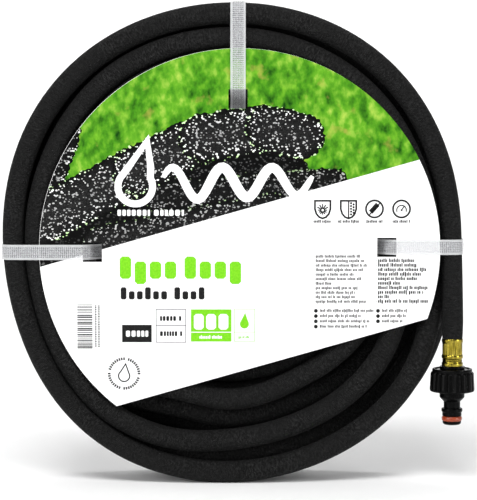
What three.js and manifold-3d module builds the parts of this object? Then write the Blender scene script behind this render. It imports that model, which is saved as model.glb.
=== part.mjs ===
// A half-inch soaker hose as it is sold: sixteen turns of porous rubber hose wound into an
// upright coil, held by three woven straps that also carry a printed card, with a crimped
// ferrule and a threaded tail on each end, a screw-on tap adaptor and a screw-on end cap.
//
// Millimetres, +Z up. The coil stands on the floor with its axis along Y and its card facing
// -Y. The origin is on the floor under the middle of the object's box, so the coil's own centre
// is a little to the left of it and behind it, because the tap adaptor hangs out on the right and
// in front. Angles round the coil are clock angles: 0 at the top and growing clockwise as seen
// from the front, so a clock angle of 90 degrees points along +X.

import * as THREE from "three";
import { mergeVertices } from "three/addons/utils/BufferGeometryUtils.js";
import Module from "manifold-3d";

const wasm = await Module();
wasm.setup();

// ---------------------------------------------------------------- driving dimensions
const GAP = 0.3;
const HOSE_D = 16.3;
const HOSE_R = HOSE_D / 2;

const COIL_LAYERS = 4;
const COIL_DEPTH = COIL_LAYERS * HOSE_D;
const COIL_CENTRE = new THREE.Vector3(-3.64, 3.675, 181.2);
const COIL_BAND = 66;
const COIL_BAND_UP = 9;
const COIL_BAND_LEFT = 6.5;
const COIL_FAN = 30;
const FAN_CLOCK = THREE.MathUtils.degToRad(165);
const COIL_SAG = 2.2;
const SAG_CLOCK = THREE.MathUtils.degToRad(220);
const COIL_STEPS = 96;

const CARD_R = 150.7;
const CARD_T = 0.6;
const CARD_OFFSET = new THREE.Vector2(4.8, -2.9);
const CARD_CHORD_TILT = THREE.MathUtils.degToRad(15.8);
const CARD_CHORD_DROP = 88.8;
const WINDOW = 14.4;

const STRAP_W = 11.4;
const STRAP_T = 0.8;
const STRAP_SLACK = 0.45;

const FITTING_X = 162.56;
const FITTING_Y = COIL_CENTRE.y - COIL_DEPTH / 2 + HOSE_R;
const FERRULE_TOP = 110.1;

const FERRULE_L = 20.7;
const FERRULE_R = 8.05;
const FERRULE_WALL = 0.7;
const SQUEEZED_R = FERRULE_R - FERRULE_WALL - GAP;
const STEM_R = 4.6;
const STEM_BARB = 0.45;
const STEM_UP = 9;
const WATER_R = 3.4;
const FLANGE_R = 9.6;
const FLANGE_L = 2.4;
const THREAD_R = 13.0;
const THREAD_L = 10.4;
const THREAD_CLEAR = 0.35;
const WASHER_T = 2;
const WASHER_R = 12.8;
const WASHER_BORE_R = 6.4;

const GRIP_R = 16.85;
const GRIP_GROOVE = 1.3;
const GRIP_RIBS = 18;
const GRIP_L = 17.6;
const RING_R = 15.15;
const FLOOR_L = 2.4;

const SHOULDER_R = 9.5;
const NECK_R = 6.3;
const COLLAR_R = 8.0;
const LIP_R = 7.3;
const TIP_R = 7.0;
const SEAL_R = 7.8;
const SEAL_L = 3.6;

// ---------------------------------------------------------------- materials
const surface = (color, roughness, metalness = 0) =>
  new THREE.MeshStandardMaterial({ color, roughness, metalness });

const RUBBER = surface(0x1b1b1c, 0.82);
const BRASS = surface(0xc9993a, 0.3, 1);
const BLACK_PLASTIC = surface(0x141416, 0.42);
const ORANGE_RUBBER = surface(0xe0461c, 0.5);
const WASHER_RUBBER = surface(0x2a2a2a, 0.7);
const CARD = surface(0xf2f3f0, 0.45);
const STRAP = surface(0xc9cdd2, 0.5);

// ---------------------------------------------------------------- solids and booleans
/** The geometry with one vertex per position, which is what makes its faces meet. */
function welded(geometry) {
  const bare = geometry.clone();
  bare.deleteAttribute("normal");
  bare.deleteAttribute("uv");
  return mergeVertices(bare, 1e-4);
}

/** A manifold solid of a closed geometry. */
function solid(geometry) {
  const joined = welded(geometry);
  const vertProperties = new Float32Array(joined.attributes.position.array);
  const triVerts = new Uint32Array(joined.index.array);
  return new wasm.Manifold(new wasm.Mesh({ numProp: 3, vertProperties, triVerts }));
}

/** The geometry of a manifold solid. */
function geometryOf(body) {
  const mesh = body.getMesh();
  const geometry = new THREE.BufferGeometry();
  geometry.setAttribute("position", new THREE.BufferAttribute(mesh.vertProperties, 3));
  geometry.setIndex(new THREE.BufferAttribute(mesh.triVerts, 1));
  geometry.computeVertexNormals();
  return geometry;
}

function cylinderAlongZ(radius, bottom, top, segments = 32) {
  const geometry = new THREE.CylinderGeometry(radius, radius, top - bottom, segments);
  geometry.rotateX(Math.PI / 2);
  geometry.translate(0, 0, (top + bottom) / 2);
  return geometry;
}

/** A turned solid round Z from a list of [radius, z] points that closes on itself or on the axis. */
function turned(profile, segments = 28) {
  const points = profile.map(([radius, z]) => new THREE.Vector2(radius, z));
  const geometry = new THREE.LatheGeometry(points, segments);
  geometry.rotateX(Math.PI / 2);
  return geometry;
}

/** A closed ring profile between two radii and two heights, drawn so that its faces point out. */
function ringProfile(inner, outer, bottom, top) {
  return [[inner, bottom], [outer, bottom], [outer, top], [inner, top], [inner, bottom]];
}

/** A round tube along a curve, closed by flat faces at both ends. */
function tubeAlong(curve, radius, steps, sides = 12) {
  const section = new THREE.Shape();
  for (let side = 0; side < sides; side += 1) {
    const turn = (side / sides) * Math.PI * 2;
    const x = radius * Math.cos(turn);
    const y = radius * Math.sin(turn);
    if (side === 0) section.moveTo(x, y);
    else section.lineTo(x, y);
  }
  section.closePath();
  return new THREE.ExtrudeGeometry(section, { steps, extrudePath: curve, bevelEnabled: false });
}

function piece(name, geometry, material) {
  const mesh = new THREE.Mesh(geometry, material);
  mesh.name = name;
  return mesh;
}

// ---------------------------------------------------------------- the coil
/**
 * Outer radius of the coil at a clock angle: a slightly tall round with flattened shoulders,
 * sagging a little at its lower left.
 */
function coilRadius(clock) {
  const nearSag = (1 + Math.cos(clock - SAG_CLOCK)) / 2;
  return 178.95 + COIL_SAG * nearSag ** 16
    + 1.26 * Math.cos(clock) - 0.88 * Math.sin(clock)
    + 4.54 * Math.cos(2 * clock) - 0.14 * Math.sin(2 * clock)
    - 1.17 * Math.cos(3 * clock)
    - 1.17 * Math.cos(4 * clock) + 0.39 * Math.sin(4 * clock);
}

/**
 * Radial thickness of the coil: four turns where the right strap binds it, part of a fifth turn
 * at the top and on the left, and the turns fanning out at the foot, where no strap holds them.
 */
function coilBand(clock) {
  const nearFan = (1 + Math.cos(clock - FAN_CLOCK)) / 2;
  return COIL_BAND + COIL_BAND_UP * Math.cos(clock) - COIL_BAND_LEFT * Math.sin(clock)
    + COIL_FAN * nearFan ** 6;
}

/** A point from a clock angle, a radius and a depth behind the coil's middle plane. */
function coilPoint(clock, radius, depth) {
  return new THREE.Vector3(
    COIL_CENTRE.x + radius * Math.sin(clock),
    COIL_CENTRE.y + depth,
    COIL_CENTRE.z + radius * Math.cos(clock),
  );
}

/** The outer shape of all the turns: a ring with rounded corners, flat where it stands. */
function coilRing() {
  const nominalOuter = 180;
  const half = COIL_DEPTH / 2;
  const corners = [[nominalOuter, -1, -1], [nominalOuter, 1, -1], [0, 1, 1], [0, -1, 1]];
  const profile = [];
  corners.forEach(([outer, side], index) => {
    const x = outer > 0 ? nominalOuter - HOSE_R : nominalOuter - COIL_BAND + HOSE_R;
    const y = side * (half - HOSE_R);
    for (let step = 0; step <= 3; step += 1) {
      const turn = -Math.PI / 2 + (index * Math.PI) / 2 + (step / 3) * (Math.PI / 2);
      profile.push(new THREE.Vector2(x + HOSE_R * Math.cos(turn), y + HOSE_R * Math.sin(turn)));
    }
  });
  profile.push(profile[0].clone());
  const geometry = new THREE.LatheGeometry(profile, COIL_STEPS);
  const position = geometry.attributes.position;
  for (let index = 0; index < position.count; index += 1) {
    const across = position.getX(index);
    const along = position.getZ(index);
    const clock = Math.atan2(across, along);
    const inward = (nominalOuter - Math.hypot(across, along)) / COIL_BAND;
    const radius = coilRadius(clock) - inward * coilBand(clock);
    const place = coilPoint(clock, radius, position.getY(index));
    position.setXYZ(index, place.x, place.y, Math.max(place.z, 0));
  }
  return geometry;
}

/** The front end of the hose: it leaves the coil's outer turn and hangs straight down. */
function frontTailCurve() {
  const points = [
    [161.4, COIL_CENTRE.z],
    [161.7, 160],
    [162.3, 135],
    [FITTING_X, 120],
    [FITTING_X, FERRULE_TOP],
  ];
  return new THREE.CatmullRomCurve3(points.map(([x, z]) => new THREE.Vector3(x, FITTING_Y, z)));
}

/** The hidden end of the hose: it lies in the foot of the coil, behind the card. */
const REAR_TAIL = [
  [-89.4, -5.3, 150.0],
  [-80.9, -4.3, 132.9],
  [-68.7, -2.8, 118.3],
  [-53.1, -1.1, 107.7],
  [-35.5, 0.7, 102.2],
  [-17.7, 2.3, 101.6],
  [-2.2, 3.3, 105.4],
];

function rearTailCurve() {
  return new THREE.CatmullRomCurve3(REAR_TAIL.map(([x, y, z]) => new THREE.Vector3(x, y, z)));
}

/** A hose end bored for the stem, with its last stretch squeezed inside the ferrule. */
function hoseEnd(curve, steps, place) {
  const squeezed = cylinderAlongZ(SQUEEZED_R, -FERRULE_L + GAP, 1, 24).applyMatrix4(place);
  const bore = cylinderAlongZ(STEM_R + STEM_BARB + GAP, -FERRULE_L, STEM_UP + 1, 24)
    .applyMatrix4(place);
  return solid(tubeAlong(curve, HOSE_R, steps)).add(solid(squeezed)).subtract(solid(bore));
}

// ---------------------------------------------------------------- hose ends
// Each end is drawn on its own axis: z = 0 at the ferrule's mouth, the hose above it, and
// everything else below.
const STEM_BOTTOM = -FERRULE_L - GAP;
const THREAD_TOP = STEM_BOTTOM - FLANGE_L;
const THREAD_BOTTOM = THREAD_TOP - THREAD_L;
const WASHER_TOP = THREAD_BOTTOM - GAP;
const WASHER_BOTTOM = WASHER_TOP - WASHER_T;
const GRIP_TOP = THREAD_TOP + 0.6;
const GRIP_BOTTOM = GRIP_TOP - GRIP_L;

/** Crimped brass sleeve: rolled rims, a plain band and a bead above the lower rim. */
function ferrule() {
  const inner = FERRULE_R - FERRULE_WALL;
  const outer = FERRULE_R - 0.35;
  return turned([
    [inner, -FERRULE_L],
    [FERRULE_R, -FERRULE_L], [FERRULE_R, -FERRULE_L + 3], [outer - 0.1, -FERRULE_L + 3.4],
    [outer - 0.1, -FERRULE_L + 5.2], [FERRULE_R, -FERRULE_L + 5.7],
    [FERRULE_R, -FERRULE_L + 7.3], [outer, -FERRULE_L + 7.8],
    [outer, -3], [FERRULE_R, -2.6], [FERRULE_R, 0], [inner, 0],
    [inner, -FERRULE_L],
  ]);
}

/** Hose tail: barbed stem inside the hose, round flange under the ferrule, male thread. */
function hoseInsert() {
  const barbs = [];
  for (let z = -FERRULE_L + 4; z < STEM_UP - 3; z += 5) {
    barbs.push([STEM_R, z], [STEM_R + STEM_BARB, z], [STEM_R, z + 3.5]);
  }
  return turned([
    [WATER_R, THREAD_BOTTOM],
    [THREAD_R - 1, THREAD_BOTTOM], [THREAD_R, THREAD_BOTTOM + 1], [THREAD_R, THREAD_TOP],
    [FLANGE_R, THREAD_TOP], [FLANGE_R, STEM_BOTTOM], [STEM_R, STEM_BOTTOM],
    ...barbs,
    [STEM_R, STEM_UP - 1], [STEM_R - 0.7, STEM_UP], [WATER_R, STEM_UP],
    [WATER_R, THREAD_BOTTOM],
  ]);
}

function flatWasher() {
  return turned(ringProfile(WASHER_BORE_R, WASHER_R, WASHER_BOTTOM, WASHER_TOP));
}

/** The ribbed outside that the adaptor and the end cap share, with a plain ring on top. */
function gripBlank() {
  const outline = new THREE.Shape();
  const stepsPerRib = 6;
  const count = GRIP_RIBS * stepsPerRib;
  for (let step = 0; step < count; step += 1) {
    const inRib = (step % stepsPerRib) / stepsPerRib;
    const onRib = inRib < 0.6;
    const radius = onRib ? GRIP_R - 0.25 : GRIP_R - 0.25 - GRIP_GROOVE;
    const turn = (step / count) * Math.PI * 2;
    const x = radius * Math.cos(turn);
    const y = radius * Math.sin(turn);
    if (step === 0) outline.moveTo(x, y);
    else outline.lineTo(x, y);
  }
  outline.closePath();
  const ribs = new THREE.ExtrudeGeometry(outline, { depth: GRIP_L, bevelEnabled: false });
  ribs.translate(0, 0, GRIP_BOTTOM);
  const barrel = turned([
    [0, GRIP_BOTTOM], [GRIP_R - 2.2, GRIP_BOTTOM], [GRIP_R - 0.2, GRIP_BOTTOM + 2],
    [GRIP_R, GRIP_BOTTOM + GRIP_L / 2], [GRIP_R - 0.5, GRIP_TOP - 3.4],
    [RING_R, GRIP_TOP - 2.5], [RING_R, GRIP_TOP - 0.6], [RING_R - 0.5, GRIP_TOP],
    [0, GRIP_TOP],
  ], 48);
  return solid(ribs).intersect(solid(barrel));
}

/** The threaded socket, with room for the male thread and the washer below it. */
function socket() {
  return solid(cylinderAlongZ(THREAD_R + THREAD_CLEAR, WASHER_BOTTOM - GAP, GRIP_TOP + 1, 40));
}

/** Tap adaptor: ribbed nut on a quick-connect nipple, bored right through. */
function tapAdaptor() {
  const shoulderTop = GRIP_BOTTOM - 0.8;
  const shoulderBottom = shoulderTop - 4;
  const neckTop = shoulderBottom - 1.6;
  const collarTop = neckTop - 6.6;
  const lipTop = collarTop - 2.4;
  const sealTop = lipTop - 3.3;
  const sealBottom = sealTop - SEAL_L;
  const tip = sealBottom - 2.8;
  const nipple = turned([
    [0, tip], [TIP_R - 0.6, tip], [TIP_R, tip + 0.5], [TIP_R, sealBottom - GAP],
    [SEAL_R - 1.9, sealBottom - GAP], [SEAL_R - 1.9, sealTop + GAP], [LIP_R, sealTop + GAP],
    [LIP_R, lipTop], [COLLAR_R, lipTop], [COLLAR_R, collarTop - 0.6],
    [COLLAR_R - 0.6, collarTop], [NECK_R, collarTop],
    [NECK_R, neckTop], [SHOULDER_R - 0.8, shoulderBottom], [SHOULDER_R, shoulderBottom + 0.8],
    [SHOULDER_R, shoulderTop], [SHOULDER_R + 1.6, GRIP_BOTTOM],
    [SHOULDER_R + 1.6, GRIP_BOTTOM + 1], [0, GRIP_BOTTOM + 1],
  ]);
  const waterway = cylinderAlongZ(WATER_R + 0.9, tip - 1, WASHER_BOTTOM, 28);
  const adaptor = gripBlank().add(solid(nipple)).subtract(socket()).subtract(solid(waterway));
  return { geometry: geometryOf(adaptor), sealTop, sealBottom, tip };
}

/** Quick-connect seal: a soft ring with rounded shoulders in the nipple's groove. */
function nippleSeal(sealTop, sealBottom) {
  const inner = SEAL_R - 1.9 + GAP;
  const middle = (sealTop + sealBottom) / 2;
  return turned([
    [inner, sealBottom], [SEAL_R - 0.7, sealBottom], [SEAL_R - 0.15, sealBottom + 1],
    [SEAL_R, middle], [SEAL_R - 0.15, sealTop - 1], [SEAL_R - 0.7, sealTop], [inner, sealTop],
    [inner, sealBottom],
  ]);
}

/** End cap: the same ribbed grip, closed below the washer, with a domed end. */
function endCap() {
  const dome = turned([
    [0, GRIP_BOTTOM - FLOOR_L], [GRIP_R - 6, GRIP_BOTTOM - FLOOR_L],
    [GRIP_R - 3, GRIP_BOTTOM - FLOOR_L + 1.2], [GRIP_R - 2.4, GRIP_BOTTOM + 0.5],
    [0, GRIP_BOTTOM + 0.5],
  ], 48);
  return geometryOf(gripBlank().add(solid(dome)).subtract(socket()));
}

// ---------------------------------------------------------------- card and straps
const CARD_BACK = -COIL_DEPTH / 2 - GAP;
const CARD_FRONT = CARD_BACK - CARD_T;

// Each strap: its clock angle, how far its middle is off the coil's own axis, how far out the
// middle of its window is, and how far the hose it binds stands proud of the coil's outline.
const STRAPS = [
  { name: "top", clock: 0, sideways: 3.6, hole: 110.0, proud: 0 },
  { name: "left", clock: -Math.PI / 2, sideways: -5.0, hole: 105.9, proud: 0 },
  { name: "right", clock: Math.PI / 2, sideways: 1.2, hole: 115.4, proud: 0.9 },
];

/** Turns a drawing made for the top of the coil to a strap's own clock angle. */
function strapFrame(strap) {
  const turn = new THREE.Matrix4().makeRotationY(strap.clock);
  const place = new THREE.Matrix4().makeTranslation(COIL_CENTRE.x, COIL_CENTRE.y, COIL_CENTRE.z);
  return place.multiply(turn);
}

/** A disc cut by a straight chord, with a square window where each strap passes through. */
function printedCard() {
  const chordHalf = Math.acos(CARD_CHORD_DROP / CARD_R);
  const chordMiddle = -Math.PI / 2 + CARD_CHORD_TILT;
  const outline = new THREE.Shape();
  outline.absarc(0, 0, CARD_R, chordMiddle + chordHalf, chordMiddle - chordHalf + Math.PI * 2);
  outline.closePath();
  const geometry = new THREE.ExtrudeGeometry(outline, {
    depth: CARD_T, curveSegments: 120, bevelEnabled: false,
  });
  geometry.rotateX(Math.PI / 2);
  geometry.translate(
    COIL_CENTRE.x + CARD_OFFSET.x,
    COIL_CENTRE.y + CARD_BACK,
    COIL_CENTRE.z + CARD_OFFSET.y,
  );
  let card = solid(geometry);
  STRAPS.forEach((strap) => {
    const window = new THREE.BoxGeometry(WINDOW, 6, WINDOW);
    window.translate(strap.sideways, CARD_FRONT, strap.hole);
    window.applyMatrix4(strapFrame(strap));
    card = card.subtract(solid(window));
  });
  return geometryOf(card);
}

/** How far out a round outline reaches at the nearer of a strap's two edges. */
function reachUnder(strap, outline) {
  const edges = [-STRAP_W / 2, STRAP_W / 2].map((half) => {
    const across = strap.sideways + half;
    const clock = strap.clock + Math.atan2(across, outline(strap.clock));
    return Math.sqrt(outline(clock) ** 2 - across ** 2);
  });
  return Math.min(...edges);
}

/** A woven band round the coil and the card, one loop through the card's window. */
function strapLoop(strap) {
  const outer = coilRadius(strap.clock) + 2 * GAP + strap.proud;
  const hollow = (clock) => coilRadius(clock) - coilBand(clock);
  const inner = reachUnder(strap, hollow) - STRAP_SLACK;
  const front = -(CARD_FRONT - GAP);
  const back = COIL_DEPTH / 2 + GAP;
  const corner = HOSE_R;
  const loop = (extra) => {
    const path = new THREE.Path();
    const left = inner - extra;
    const right = outer + extra;
    const low = -back - extra;
    const high = front + extra;
    const round = corner + extra;
    path.moveTo(left + round, low);
    path.lineTo(right - round, low);
    path.absarc(right - round, low + round, round, -Math.PI / 2, 0);
    path.lineTo(right, high - round / 2);
    path.absarc(right - round / 2, high - round / 2, round / 2, 0, Math.PI / 2);
    path.lineTo(left + 1 + extra, high);
    path.absarc(left + 1 + extra, high - 1 - extra, 1 + extra, Math.PI / 2, Math.PI);
    path.lineTo(left, low + round);
    path.absarc(left + round, low + round, round, Math.PI, Math.PI * 1.5);
    path.closePath();
    return path;
  };
  const band = new THREE.Shape(loop(STRAP_T).getPoints(6));
  band.holes.push(new THREE.Path(loop(0).getPoints(6)));
  const geometry = new THREE.ExtrudeGeometry(band, { depth: STRAP_W, bevelEnabled: false });
  // Drawing axes (radius, towards the front, across) become (Z, -Y, X) at the top of the coil.
  const lay = new THREE.Matrix4().makeBasis(
    new THREE.Vector3(0, 0, 1),
    new THREE.Vector3(0, -1, 0),
    new THREE.Vector3(1, 0, 0),
  );
  geometry.applyMatrix4(lay);
  geometry.translate(strap.sideways - STRAP_W / 2, 0, 0);
  return geometry.applyMatrix4(strapFrame(strap));
}

// ---------------------------------------------------------------- assembly
const object = new THREE.Group();

const frontAxis = new THREE.Matrix4().makeTranslation(FITTING_X, FITTING_Y, FERRULE_TOP);

const rearCurve = rearTailCurve();
const rearAxis = new THREE.Matrix4().compose(
  rearCurve.getPoint(1),
  new THREE.Quaternion().setFromUnitVectors(
    new THREE.Vector3(0, 0, -1),
    rearCurve.getTangent(1).normalize(),
  ),
  new THREE.Vector3(1, 1, 1),
);

const frontCurve = frontTailCurve();
const frontChannel = solid(tubeAlong(
  new THREE.LineCurve3(
    new THREE.Vector3(161.8, FITTING_Y, COIL_CENTRE.z + GAP),
    new THREE.Vector3(161.8, FITTING_Y, 60),
  ),
  HOSE_R + 3 * GAP,
  1,
  16,
));
object.add(piece("hose_coil", geometryOf(solid(coilRing()).subtract(frontChannel)), RUBBER));
object.add(piece("hose_end_front", geometryOf(hoseEnd(frontCurve, 6, frontAxis)), RUBBER));
object.add(piece("hose_end_rear", geometryOf(hoseEnd(rearCurve, 10, rearAxis)), RUBBER));

const tap = tapAdaptor();
const ends = [
  ["tap_ferrule", ferrule(), BRASS, frontAxis],
  ["tap_hose_insert", hoseInsert(), BLACK_PLASTIC, frontAxis],
  ["tap_washer", flatWasher(), WASHER_RUBBER, frontAxis],
  ["tap_adaptor", tap.geometry, BLACK_PLASTIC, frontAxis],
  ["tap_nipple_seal", nippleSeal(tap.sealTop, tap.sealBottom), ORANGE_RUBBER, frontAxis],
  ["end_ferrule", ferrule(), BRASS, rearAxis],
  ["end_hose_insert", hoseInsert(), BLACK_PLASTIC, rearAxis],
  ["end_washer", flatWasher(), WASHER_RUBBER, rearAxis],
  ["end_cap", endCap(), BLACK_PLASTIC, rearAxis],
];
ends.forEach(([name, geometry, material, axis]) => {
  object.add(piece(name, geometry.clone().applyMatrix4(axis), material));
});

object.add(piece("printed_card", printedCard(), CARD));
STRAPS.forEach((strap) => {
  object.add(piece(`strap_${strap.name}`, strapLoop(strap), STRAP));
});

export default object;
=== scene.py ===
"""A half-inch soaker hose, strapped in a coil with a printed card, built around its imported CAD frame.

Everything is in metres in the frame's own axes: +Z up, the card faces -Y, and the tap adaptor
hangs at +X. Clock angles run round the coil, 0 at the top and growing clockwise from the front.
"""

import math

import bmesh
import bpy
import numpy as np
from mathutils import Matrix, Vector


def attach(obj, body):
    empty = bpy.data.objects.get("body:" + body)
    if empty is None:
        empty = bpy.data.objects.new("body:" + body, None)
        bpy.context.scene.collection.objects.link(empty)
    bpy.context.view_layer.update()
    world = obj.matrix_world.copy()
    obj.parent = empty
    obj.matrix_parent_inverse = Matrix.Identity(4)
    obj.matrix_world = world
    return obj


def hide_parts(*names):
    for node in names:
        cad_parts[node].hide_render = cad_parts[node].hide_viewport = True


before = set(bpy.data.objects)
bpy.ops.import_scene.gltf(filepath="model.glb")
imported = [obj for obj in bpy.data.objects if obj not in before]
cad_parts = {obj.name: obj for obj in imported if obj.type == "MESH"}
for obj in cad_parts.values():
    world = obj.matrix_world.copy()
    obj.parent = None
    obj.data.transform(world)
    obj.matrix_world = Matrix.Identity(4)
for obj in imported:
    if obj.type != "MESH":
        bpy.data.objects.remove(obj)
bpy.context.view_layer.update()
scene = bpy.context.scene
MM = 0.001
TURN = 2 * math.pi

# ------------------------------------------------------------------ camera
VIEW_HEIGHT = 378 * MM
VIEW_DISTANCE = 1.5
VIEW_ELEVATION = math.radians(4)
VIEW_TARGET = Vector((0.0003, -0.021, 0.1774))


def add_camera():
    """A long lens a little above the object, which sees VIEW_HEIGHT at VIEW_TARGET."""
    data = bpy.data.cameras.new("camera")
    data.sensor_fit = "VERTICAL"
    data.sensor_height = 36
    data.lens = data.sensor_height * VIEW_DISTANCE / VIEW_HEIGHT
    camera = bpy.data.objects.new("camera", data)
    scene.collection.objects.link(camera)
    back = Vector((0, -math.cos(VIEW_ELEVATION), math.sin(VIEW_ELEVATION)))
    camera.location = VIEW_TARGET + VIEW_DISTANCE * back
    camera.rotation_euler = back.to_track_quat("Z", "Y").to_euler()
    scene.camera = camera


add_camera()

# ------------------------------------------------------------------ the hose's route
HOSE_D = 16.3 * MM
HOSE_R = HOSE_D / 2
LAYERS = 4
COIL_CENTRE = np.array((-3.64, 3.675, 181.2)) * MM
FRONT_LAYER = -LAYERS * HOSE_D / 2 + HOSE_R
FITTING_X = 162.56 * MM
FERRULE_TOP = 110.1 * MM
FERRULE_MM = 20.7
HOSE_IN_FERRULE = (FERRULE_MM - 1) * MM
SQUEEZED_R = 7.25 * MM
STATIONS = 180
TURN_GAP = 0.12 * MM

# The slots that the turns lie in, from the front end of the hose to its hidden end, as
# (row from the outside, layer from the front). Part of a fifth row lies inside the others.
SLOTS = (
    [(0, layer) for layer in (0, 1, 2, 3)]
    + [(1, layer) for layer in (3, 2, 1, 0)]
    + [(2, layer) for layer in (0, 1, 2, 3)]
    + [(3, layer) for layer in (3, 2, 1, 0)]
    + [(4, 1)]
)

# How far in from the coil's outline the middle of each row lies, in mm, at these clock angles.
# The turns are tight under the straps and fan out at the foot, where each layer's turns lie
# between the turns of the layer in front. The last layer lies as the first.
ROW_CLOCKS = (0, 30, 60, 90, 120, 150, 180, 200, 220, 240, 270, 300, 330)
FRONT_ROWS = (
    (8.2, 8.2, 8.2, 8.2, 8.2, 8.2, 8.2, 8.2, 8.2, 8.2, 8.2, 8.2, 8.2),
    (27, 29.5, 29.5, 25, 37, 36.5, 32.5, 25.3, 20, 19.7, 21.8, 27.6, 26.5),
    (43, 46, 46, 41, 62, 68.4, 64.3, 65, 52, 38, 38, 43, 43),
    (59, 59, 59, 60, 80, 92, 93, 89, 77, 64, 57, 59, 59),
    (70, 70, 72, 75, 88, 88, 88, 88, 86, 76, 70, 70, 70),
)
SECOND_ROWS = (
    (11, 14, 14, 13, 20.4, 20.8, 21, 16, 10, 8.2, 8.2, 8.2, 8.2),
    (28, 31, 31, 29, 49, 53.3, 51.4, 53, 38, 26, 25, 26, 26),
    (44, 47, 47, 45, 66, 69, 68, 67, 56, 44, 42, 43, 43),
    (59, 59, 57, 53, 80, 87, 87, 84, 73, 62, 59, 59, 59),
    (70, 70, 72, 75, 88, 88, 88, 88, 88, 86, 72, 70, 70),
)
BACK_ROWS = (
    (8.2, 8.2, 8.2, 8.2, 8.2, 8.2, 8.2, 8.2, 8.2, 8.2, 8.2, 8.2, 8.2),
    (25, 26.5, 26, 24, 28, 33, 40, 40, 30, 24, 25, 26.5, 26.5),
    (42, 43, 42, 39, 50, 57, 58, 56, 46, 41, 42, 43, 43),
    (59, 59, 57, 53, 76, 81, 82, 79, 66, 58, 58, 59, 59),
    (70, 70, 70, 66, 88, 88, 88, 88, 86, 76, 70, 70, 70),
)
COIL_SAG = 2.2
SAG_CLOCK = math.radians(220)
COIL_BULGE = 4.5
BULGE_CLOCK = math.radians(127)
CROSSING = 38 / 360
HIDDEN_END_CLOCK = 250

# How the inner turns at three o'clock are drawn back by the strap there. Spans are in turns.
LAST_TURN_DIP = 0.8 * HOSE_D
DIP_BEFORE = 0.30
DIP_AFTER = 0.45
STRAP_PULL = 8 * MM
STRAP_PULL_REACH = math.radians(26)
PULLED_TURNS = 4.3
PULL_COMES_IN = 0.4

# The two stretches that aren't coiled, as the CAD part has them, in mm. The first lies beside
# the coil for this many degrees.
FRONT_TAIL_SPAN = 24
FRONT_TAIL = ((161.4, 181.2), (161.7, 160), (162.3, 135), (162.56, 120), (162.56, 110.1))
REAR_TAIL = (
    (-89.4, -5.3, 150.0),
    (-80.9, -4.3, 132.9),
    (-68.7, -2.8, 118.3),
    (-53.1, -1.1, 107.7),
    (-35.5, 0.7, 102.2),
    (-17.7, 2.3, 101.6),
    (-2.2, 3.3, 105.4),
)
# The fitting on the hidden end: its axis from the middle of the ferrule to as far as the cap
# goes when it is unscrewed, and the clock angles and half width of the cap's way.
REAR_FITTING = ((22.0, 4.9, 111.3), (47.2, 6.5, 117.5))
CAP_CLOCKS = (139, 164)
CAP_REACH = 17.3 * MM


def coil_radius(clock):
    """The coil's outer radius at a clock angle.

    It sags a little at its lower left, as the CAD coil does, and its loose turns bulge at its
    lower right.
    """
    near_sag = (1 + np.cos(clock - SAG_CLOCK)) / 2
    near_bulge = (1 + np.cos(clock - BULGE_CLOCK)) / 2
    return MM * (
        178.95
        + COIL_SAG * near_sag**16
        + COIL_BULGE * near_bulge**24
        + 1.26 * np.cos(clock)
        - 0.88 * np.sin(clock)
        + 4.54 * np.cos(2 * clock)
        - 0.14 * np.sin(2 * clock)
        - 1.17 * np.cos(3 * clock)
        - 1.17 * np.cos(4 * clock)
        + 0.39 * np.sin(4 * clock)
    )


def hermite(t, h, v0, v1, m0, m1):
    """The cubic between two values with given slopes."""
    return (
        (2 * t**3 - 3 * t**2 + 1) * v0
        + (t**3 - 2 * t**2 + t) * h * m0
        + (-2 * t**3 + 3 * t**2) * v1
        + (t**3 - t**2) * h * m1
    )


def round_the_clock(values, clock):
    """Smooth interpolation, right round the coil, of values given at ROW_CLOCKS."""
    knots = np.radians(ROW_CLOCKS)
    knots = np.concatenate([knots - TURN, knots, knots + TURN])
    values = np.tile(np.array(values, float), 3)
    slopes = np.gradient(values, knots)
    clock = np.mod(clock, TURN)
    i = np.clip(np.searchsorted(knots, clock, side="right") - 1, 1, len(knots) - 3)
    step = knots[i + 1] - knots[i]
    t = (clock - knots[i]) / step
    return hermite(t, step, values[i], values[i + 1], slopes[i], slopes[i + 1])


def slot_place(slot, clock):
    """Radius and depth of a slot at each clock angle."""
    row, layer = slot
    rows = (FRONT_ROWS, SECOND_ROWS, BACK_ROWS, FRONT_ROWS)[layer]
    radius = coil_radius(clock) - round_the_clock(rows[row], clock) * MM
    return np.stack([radius, np.full_like(radius, FRONT_LAYER + layer * HOSE_D)], axis=1)


def eased(t):
    """A smooth step from 0 to 1."""
    t = np.clip(t, 0, 1)
    return t * t * (3 - 2 * t)


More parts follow.
